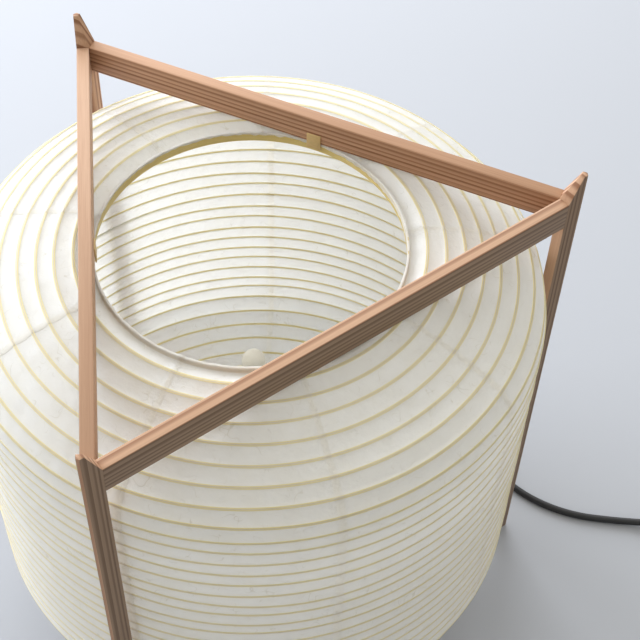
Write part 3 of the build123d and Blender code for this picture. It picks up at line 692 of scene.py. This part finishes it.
def stretched_paper(place, ring, lapping):
    """Places of the paper's points with its puckers, its laps and its uneven folds at the hoops."""
    sizes = bpy.context.scene.andon_sizes
    moved, normal, azimuth = moved_by_hand(place, ring)
    from_hoop = np.minimum(ring, LAST_RING - ring)
    between = np.where(from_hoop >= 0, ring % 1, 0.5 * (from_hoop > -0.95))
    loose = np.sin(pi * between) ** 2
    near_seam = np.exp(-((from_seam(azimuth) / radians(2.6)) ** 2))
    pucker = ripples(place, (46 * MM, 24 * MM, 15 * MM), seed=21) * 0.55 - 0.2
    creases = np.abs(ripples(place, (13 * MM, 9 * MM), seed=22)) * 0.9
    depth = sizes.pucker * loose * (pucker - creases * (0.3 + 0.5 * near_seam))
    depth += 1.15 * sizes.paper * lapping
    moved = moved + normal * depth[:, None]
    # The free edge inside each hoop is torn, and folded deeper at the back right.
    edge = np.abs(from_hoop - FOLD_EDGE) < 0.01
    from_deepest = np.angle(np.exp(1j * (azimuth - radians(40))))
    depth = FOLD_LEAST + FOLD_MORE * np.exp(-((from_deepest / radians(42)) ** 2))
    depth += FOLD_TORN * ripples(place, (22 * MM, 9 * MM, 5 * MM), seed=31)
    flip = np.where(ring > RINGS_EACH_SIDE, -1, 1)
    moved[:, 2] -= flip * edge * depth
    # Between the rails the rim stands a little uneven.
    apart = [np.abs(np.angle(np.exp(1j * (azimuth - turn)))) for turn in RAIL_TURNS]
    free = soft_step(np.min(apart, axis=0), radians(15), radians(24))
    rim = (from_hoop < -1.55) & ~edge
    uneven = 1 + ripples(place, (30 * MM, 12 * MM, 7 * MM), seed=32)
    moved[:, 2] += flip * rim * free * RIM_UNEVEN * uneven
    return moved


class ANDON_OT_shade_paper(bpy.types.Operator):
    """Stretch nine lapped gores of paper over the lantern's rings and round its two hoops"""

    bl_idname = "andon.shade_paper"
    bl_label = "Paper gores"

    def execute(self, context):
        material = washi()
        outline = gore_outline()
        for gore in range(GORES):
            self.gore(outline, FIRST_SEAM + gore * GORE_TURN, f"paper_gore_{gore + 1}", material)
        return {"FINISHED"}

    def gore(self, outline, start, name, material):
        bm = bmesh.new()
        ring_of = bm.verts.layers.float.new("ring")
        turned_of = bm.verts.layers.float.new("turned")
        points = []
        for radius, height, ring in outline:
            points.append(bm.verts.new((radius * cos(start), radius * sin(start), height)))
            points[-1][ring_of] = ring
        edges = [bm.edges.new(pair) for pair in zip(points, points[1:])]
        steps = GORE_STEPS + LAP_STEPS
        bmesh.ops.spin(
            bm, geom=points + edges, cent=(0, 0, 0), axis=(0, 0, 1),
            angle=GORE_TURN * steps / GORE_STEPS, steps=steps, use_merge=False,
        )
        bmesh.ops.recalc_face_normals(bm, faces=bm.faces)
        widest = max(bm.faces, key=lambda face: face.calc_center_median().xy.length)
        if widest.normal.xy.dot(widest.calc_center_median().xy) < 0:
            bmesh.ops.reverse_faces(bm, faces=bm.faces)
        place = np.array([vert.co for vert in bm.verts])
        ring = np.array([vert[ring_of] for vert in bm.verts])
        # How far each point is turned from the gore's start, with no jump behind.
        azimuth = np.arctan2(place[:, 1], place[:, 0])
        turned = np.angle(np.exp(1j * (azimuth - start - GORE_TURN / 2))) + GORE_TURN / 2
        lapping = soft_step(turned, GORE_TURN - radians(0.9), GORE_TURN - radians(0.1))
        for vert, new, angle in zip(bm.verts, stretched_paper(place, ring, lapping), turned):
            vert.co = new
            vert[turned_of] = angle
        piece = as_piece(name, bm, "lamp", material, ["shade_paper"], sharp=radians(80))
        wall = piece.modifiers.new("paper thickness", "SOLIDIFY")
        wall.thickness = bpy.context.scene.andon_sizes.paper
        wall.offset = -1.0
        # The cut edges stay square: their shading doesn't run on into the sheet.
        even = piece.modifiers.new("square cut edges", "WEIGHTED_NORMAL")
        even.weight = 100


class ANDON_OT_bamboo_rings(bpy.types.Operator):
    """Split bamboo rings under the paper, from one hoop to the other"""

    bl_idname = "andon.bamboo_rings"
    bl_label = "Bamboo rings"

    def execute(self, context):
        sizes = context.scene.andon_sizes
        bamboo = split_bamboo(
            "ring_bamboo", (18, 18, 900), 0.03, (0.99, 0.94, 0.68, 1), 0.9, through=0.78
        )
        curved = int((DOME_RUN + SHOULDER_RUN) / RING_PITCH) + 1
        groups = {
            "top_dome_ribs": range(curved),
            "wall_ribs": range(curved, LAST_RING - curved + 1),
            "bottom_dome_ribs": range(LAST_RING - curved + 1, LAST_RING + 1),
        }
        for node, numbers in groups.items():
            bm = bmesh.new()
            ring_of = bm.verts.layers.float.new("ring")
            for number in numbers:
                radius, height, slope, _ = mould(number)
                half = sizes.ring_width / 2
                section = []
                for along, depth in RING_SECTION:
                    inset = sizes.paper + 0.02 * MM + depth * half
                    low = radius - inset * sin(slope) + along * half * cos(slope)
                    high = height - inset * cos(slope) - along * half * sin(slope)
                    section.append((low, 2 * MIDDLE - high if number > RINGS_EACH_SIDE else high))
                start = len(bm.verts)
                spun(bm, section, RING_STEPS, closed=True)
                bm.verts.ensure_lookup_table()
                for vert in bm.verts[start:]:
                    vert[ring_of] = number
            place = np.array([vert.co for vert in bm.verts])
            ring = np.array([vert[ring_of] for vert in bm.verts])
            for vert, new in zip(bm.verts, moved_by_hand(place, ring)[0]):
                vert.co = new
            closed_up(bm)
            as_piece(node.replace("ribs", "rings"), bm, "lamp", bamboo, [node])
        return {"FINISHED"}


class ANDON_OT_hoops(bpy.types.Operator):
    """The two flat bamboo hoops that hold the lantern's mouths open"""

    bl_idname = "andon.hoops"
    bl_label = "Hoops"

    def execute(self, context):
        bamboo = split_bamboo("hoop_bamboo", (12, 12, 1400), 0.35, (0.60, 0.45, 0.14, 1), 0.6)
        ease = 0.6 * MM
        for node, foot in (("top_hoop", hoop_low.z), ("bottom_hoop", LOWER_HOOP_FOOT)):
            head = foot + HOOP_HEIGHT
            bm = bmesh.new()
            section = [
                (HOOP_OUTER, foot + ease), (HOOP_OUTER, head - ease),
                (HOOP_OUTER - ease, head), (HOOP_INNER + ease, head),
                (HOOP_INNER, head - ease), (HOOP_INNER, foot + ease),
                (HOOP_INNER + ease, foot), (HOOP_OUTER - ease, foot),
            ]
            spun(bm, section, HOOP_STEPS, closed=True)
            closed_up(bm)
            as_piece("bent_" + node, bm, "lamp", bamboo, [node])
        return {"FINISHED"}


# ---- frame
class ANDON_OT_timber(bpy.types.Operator):
    """Plane the legs, rails and crossbar, each with its own grain"""

    bl_idname = "andon.timber"
    bl_label = "Cedar frame"

    def execute(self, context):
        arris = context.scene.andon_sizes.arris
        # Node, way of the grain, tilt of the growth rings, share of heartwood.
        boards = [
            ("leg_back_left", None, 0.35, 0.3),
            ("leg_right", None, -0.52, 0.3),
            ("leg_front", None, -0.52, 0.2),
            ("top_rail_back", 0, 1.45, 0.5),
            ("top_rail_left", 120, 1.5, 0.0),
            ("top_rail_right", 60, 0.95, 0.15),
            ("bottom_rail_back", 0, 1.2, 0.2),
            ("bottom_rail_left", 120, 1.4, 0.1),
            ("bottom_rail_right", 60, 1.3, 0.3),
            ("crossbar", 0, 1.3, 0.2),
        ]
        for count, (node, along, tilt, heart) in enumerate(boards):
            eased_copy(node, arris, cedar(node, along, tilt, heart, 0.83 * count))
        return {"FINISHED"}


class ANDON_OT_tabs(bpy.types.Operator):
    """Bamboo tabs, glued flat on the rails, that hook into the two hoops"""

    bl_idname = "andon.tabs"
    bl_label = "Tabs"

    def execute(self, context):
        bamboo = split_bamboo("tab_bamboo", (240, 240, 1400), 0.5, (0.52, 0.33, 0.15, 1), 0.75)
        eased_copies(bamboo, {"top_hoop_hooks": 0.3, "bottom_hoop_hooks": 0.3})
        return {"FINISHED"}


# ---- lampholder and lamp
class ANDON_OT_lampholder(bpy.types.Operator):
    """Stem, nuts, gland and the small black lampholder"""

    bl_idname = "andon.lampholder"
    bl_label = "Lampholder"

    def execute(self, context):
        zinc, black = plain_material("zinc_plate"), plain_material("black_moulding")
        steel = {"stem": 0.25, "stem_washers": 0.15, "stem_nuts": 0.3}
        eased_copies(zinc, steel)
        moulded = {"cord_gland": 0.3, "lampholder_cap": 0.5, "lampholder_body": 0.4}
        eased_copies(black, moulded)
        # The screw shell and the contact keep their CAD shape.
        for node, finish in (
            ("lampholder_screw_shell", zinc),
            ("lampholder_contact", plain_material("dull_brass")),
        ):
            frame["nodes"][node].data.materials.clear()
            frame["nodes"][node].data.materials.append(finish)
        return {"FINISHED"}


class ANDON_OT_bulb(bpy.types.Operator):
    """The slim frosted lamp on its small screw cap"""

    bl_idname = "andon.bulb"
    bl_label = "Bulb"

    def execute(self, context):
        low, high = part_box("bulb_glass")
        radius = high.x
        bm = bmesh.new()
        outline = [
            (0.86 * radius - 1.0 * MM, low.z), (0.78 * radius, low.z + 1.2 * MM),
            (0.86 * radius, low.z + 3.2 * MM), (radius, low.z + 6.5 * MM),
            (radius, low.z + 12 * MM),
        ]
        for step in range(11):
            turn = pi / 2 * step / 10
            outline.append((radius * cos(turn), high.z - radius + radius * sin(turn)))
        wall = 0.7 * MM
        inner = []
        for reach, height in reversed(outline[1:]):
            inner.append((max(0.0, reach - wall), height - wall / 2))
        inner.append((0.78 * radius - wall, low.z))
        spun(bm, outline + inner, BULB_STEPS, closed=True)
        closed_up(bm)
        as_piece("frosted_tube", bm, "bulb", self.frosted(), ["bulb_glass"])
        self.thread()
        return {"FINISHED"}

    def frosted(self):
        """Glass with a fine white coat, which scatters nearly all light."""
        plain = {
            "Transmission Weight": 0.1, "IOR": 1.45, "Coat Weight": 0.25, "Coat Roughness": 0.15,
        }
        glass, tree, shader = finish_with("frosted_glass", plain=plain)
        fine = grouped(tree, "Fine Texture", {"Vector": object_place(tree), "Grain Scale": 1600.0})
        frost = mixed(tree, fine["Tone"], (0.97, 0.94, 0.85, 1), (0.98, 0.96, 0.89, 1))
        rough = plus(tree, 0.42, times(tree, fine["Tone"], 0.1))
        fill(tree, shader, {"Base Color": frost, "Roughness": rough})
        raised(tree, shader, fine["Height"], 0.00003, 0.5)
        return glass

    def thread(self):
        """The rolled thread of the cap, as rounded ridges a pitch apart."""
        low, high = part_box("bulb_screw_cap")
        radius = high.x
        pitch = 3.2 * MM
        outline = [
            (0, low.z), (3.2 * MM, low.z),
            (3.2 * MM, low.z + 1.2 * MM), (6.7 * MM, low.z + 3.2 * MM),
        ]
        height = low.z + 4.4 * MM
        while height + pitch < high.z - 1.5 * MM:
            outline += [
                (radius - 0.75 * MM, height), (radius - 0.2 * MM, height + 0.3 * pitch),
                (radius, height + 0.5 * pitch), (radius - 0.2 * MM, height + 0.7 * pitch),
            ]
            height += pitch
        outline += [
            (radius - 0.75 * MM, height), (radius - 0.3 * MM, high.z - 0.6 * MM),
            (radius - 0.6 * MM, high.z), (0, high.z),
        ]
        bm = bmesh.new()
        spun(bm, outline, BULB_STEPS)
        closed_up(bm)
        metal = plain_material("cap_aluminium")
        as_piece("rolled_screw_cap", bm, "bulb", metal, ["bulb_screw_cap"])


# ---- flex
CORD_RADIUS = 3.5 * MM
GLAND_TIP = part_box("cord_gland")[0].z
COIL_MIDDLE = (508.6 * MM, 112.0 * MM)
COIL_RADIUS = 36.7 * MM
TURN_PITCH = 7.2 * MM
COIL_LOW = 4.5 * MM
TURN_POINTS = 16

# Where the flex runs, in metres.
FROM_GLAND = [
    (0.0, 0.0, GLAND_TIP),
    (0.0, 0.0, 0.0249),
    (0.0014, 0.0077, 0.0114),
    (0.0037, 0.0211, 0.0035),
    (0.008, 0.052, 0.0035),
    (0.030, 0.106, 0.0035),
    (0.081, 0.161, 0.0035),
    (0.146, 0.196, 0.0035),
    (0.187, 0.178, 0.0035),
    (0.228, 0.1615, 0.0035),
    (0.275, 0.160, 0.0035),
    (0.320, 0.173, 0.0035),
    (0.3663, 0.1874, 0.0075),
    (0.388, 0.191, 0.0075),
]
FROM_SWITCH = [
    (0.461, 0.2032, 0.0075),
    (0.4827, 0.2068, 0.0075),
    (0.517, 0.197, 0.0046),
    (0.540, 0.168, 0.0037),
    (0.5489, 0.134, 0.0040),
]
TO_PLUG = [
    (0.5489, 0.088, 0.0102),
    (0.547, 0.045, 0.0052),
    (0.5415, 0.0076, 0.0075),
    (0.5375, -0.014, 0.0075),
]


def coil_points():
    """Four turns, clockwise from above: outer, inner, then inner and outer on top of them."""
    outer = COIL_RADIUS + TURN_PITCH / 2
    inner = COIL_RADIUS - TURN_PITCH / 2
    turns = [(outer, 0), (inner, 0), (inner, 1), (outer, 1)]
    # Control points stand off the turn that they hold.
    stand_off = 1 / cos(pi / TURN_POINTS)
    x, y = COIL_MIDDLE
    points = []
    for turn, (reach, layer) in enumerate(turns):
        next_reach, next_layer = turns[min(turn + 1, len(turns) - 1)]
        for step in range(TURN_POINTS):
            # The change to the next turn takes the last quarter of this one.
            share = max(0.0, (step / TURN_POINTS - 0.75) * 4)
            radius = (reach + (next_reach - reach) * share) * stand_off
            height = COIL_LOW + TURN_PITCH * (layer + (next_layer - layer) * share)
            angle = -tau * (step + 0.5) / TURN_POINTS
            points.append((x + radius * cos(angle), y + radius * sin(angle), height))
    return points


class ANDON_OT_flex(bpy.types.Operator):
    """The black flex, from the gland through the switch and its coil to the plug"""

    bl_idname = "andon.flex"
    bl_label = "Flex"

    def execute(self, context):
        curve = bpy.data.curves.new("flex", "CURVE")
        curve.dimensions = "3D"
        curve.bevel_depth = CORD_RADIUS
        curve.bevel_resolution = 5
        curve.resolution_u = 6
        curve.use_fill_caps = True
        points = FROM_GLAND + FROM_SWITCH + coil_points() + TO_PLUG
        spline = curve.splines.new("NURBS")
        spline.points.add(len(points) - 1)
        for point, place in zip(spline.points, points):
            point.co = (*place, 1)
        spline.order_u = 3
        spline.use_endpoint_u = True
        flex = new_object("flex", curve)
        curve.materials.append(plain_material("flex_jacket"))
        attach(flex, "lamp")
        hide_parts("cord_lead", "cord_tail", "cord_end", "cord_coil")
        return {"FINISHED"}


class ANDON_OT_switch_and_plug(bpy.types.Operator):
    """The in-line rocker switch, the plug, their reliefs and the tie round the coil"""

    bl_idname = "andon.switch_and_plug"
    bl_label = "Switch, plug and tie"

    def execute(self, context):
        black, rubber = plain_material("black_moulding"), plain_material("relief_rubber")
        switch = {"switch_base": 0.4, "switch_cover": 0.5, "switch_rocker": 0.35}
        eased_copies(black, switch)
        eased_copies(rubber, {"switch_reliefs": 0.3})
        eased_copy("plug_body", 0.8 * MM, black, segments=3)
        eased_copies(rubber, {"plug_relief": 0.3})
        eased_copies(plain_material("blade_brass"), {"plug_blades": 0.15})
        eased_copies(black, {"coil_tie": 0.2})
        return {"FINISHED"}


# ---- stage
class ANDON_OT_stage(bpy.types.Operator):
    """A plain pale floor, soft daylight from the back left, and the camera"""

    bl_idname = "andon.stage"
    bl_label = "Floor, light and camera"

    def execute(self, context):
        self.floor()
        self.light(context)
        self.camera(context)
        return {"FINISHED"}

    def floor(self):
        bm = bmesh.new()
        bmesh.ops.create_grid(bm, x_segments=1, y_segments=1, size=12)
        mesh = bpy.data.meshes.new("floor")
        bm.to_mesh(mesh)
        bm.free()
        ground = new_object("floor", mesh)
        plain = {"Roughness": 0.9, "Base Color": (0.445, 0.46, 0.49, 1)}
        mesh.materials.append(finish_with("pale_floor", specular=0.1, plain=plain)[0])

    def light(self, context):
        context.scene.view_settings.view_transform = "Standard"
        world = bpy.data.worlds.new("daylight")
        world.use_nodes = True
        tree = world.node_tree
        # The room is brightest up and behind on the left, and dim in front on the right.
        toward = {0: put(tree, "TexCoord").outputs["Generated"], 1: (-0.42, 0.42, 0.8)}
        toward = put(tree, "VectorMath", toward, operation="DOT_PRODUCT").outputs["Value"]
        room = {"Value": toward, "From Min": -0.7, "From Max": 1.0, "To Min": 0.2, "To Max": 1.12}
        strength = put(tree, "MapRange", room).outputs[0]
        sky = {"Color": (1.0, 0.985, 0.94, 1), "Strength": strength}
        fill(tree, tree.nodes["Background"], sky)
        context.scene.world = world
        for name, place, size, power, colour in (
            ("left_window", (-2.6, 0.2, 0.9), 2.3, 107.0, (0.95, 1.0, 1.10)),
            ("back_window", (-1.1, 2.1, 1.3), 1.6, 43.0, (0.96, 1.0, 1.07)),
        ):
            lamp = bpy.data.lights.new(name, "AREA")
            lamp.size = size
            lamp.energy = power
            lamp.color = colour
            aim = Vector((0, 0, 0.3)) - Vector(place)
            turn = aim.to_track_quat("-Z", "Y").to_matrix().to_4x4()
            new_object(name, lamp).matrix_world = Matrix.Translation(place) @ turn

    def camera(self, context):
        azimuth, elevation, roll = radians(22.09), radians(51.024), radians(2.039)
        flat = cos(elevation)
        back = Vector((sin(azimuth) * flat, -cos(azimuth) * flat, sin(elevation)))
        level = Vector((cos(azimuth), sin(azimuth), 0))
        up = back.cross(level)
        across = level * cos(roll) + up * sin(roll)
        upright = up * cos(roll) - level * sin(roll)
        lens = bpy.data.cameras.new("camera")
        lens.sensor_width = 36.0
        lens.lens = 80.65
        camera = new_object("camera", lens)
        turn = Matrix((across, upright, back)).transposed().to_4x4()
        camera.matrix_world = Matrix.Translation((0.32257, -0.65110, 1.25503)) @ turn
        context.scene.camera = camera


class ANDON_PT_lamp(bpy.types.Panel):
    """The lamp's pieces, in the order of making."""

    bl_idname = "ANDON_PT_lamp"
    bl_label = "Andon floor lamp"
    bl_space_type = "VIEW_3D"
    bl_region_type = "UI"
    bl_category = "Andon"

    def draw(self, context):
        column = self.layout.column()
        for group in (context.scene.andon_sizes, context.scene.andon_colours):
            for name in group.__annotations__:
                column.prop(group, name)
        for piece in MAKING:
            column.operator(piece.bl_idname)


MAKING = (
    ANDON_OT_stage,
    ANDON_OT_switch_and_plug,
    ANDON_OT_flex,
    ANDON_OT_timber,
    ANDON_OT_shade_paper,
    ANDON_OT_bamboo_rings,
    ANDON_OT_hoops,
    ANDON_OT_tabs,
    ANDON_OT_lampholder,
    ANDON_OT_bulb,
)
CLASSES = (AndonSizes, AndonColours, *MAKING, ANDON_PT_lamp)


def register():
    for kind in CLASSES:
        bpy.utils.register_class(kind)
    bpy.types.Scene.andon_sizes = bpy.props.PointerProperty(type=AndonSizes)
    bpy.types.Scene.andon_colours = bpy.props.PointerProperty(type=AndonColours)


def unregister():
    del bpy.types.Scene.andon_colours
    del bpy.types.Scene.andon_sizes
    for kind in reversed(CLASSES):
        bpy.utils.unregister_class(kind)


def main():
    register()
    make_straight_grain()
    make_washi_fibre()
    make_fine_texture()
    bpy.ops.andon.stage()
    bpy.ops.andon.switch_and_plug()
    bpy.ops.andon.flex()
    bpy.ops.andon.timber()
    bpy.ops.andon.shade_paper()
    bpy.ops.andon.bamboo_rings()
    bpy.ops.andon.hoops()
    bpy.ops.andon.tabs()
    bpy.ops.andon.lampholder()
    bpy.ops.andon.bulb()
    bpy.context.view_layer.update()


if __name__ == "__main__":
    main()
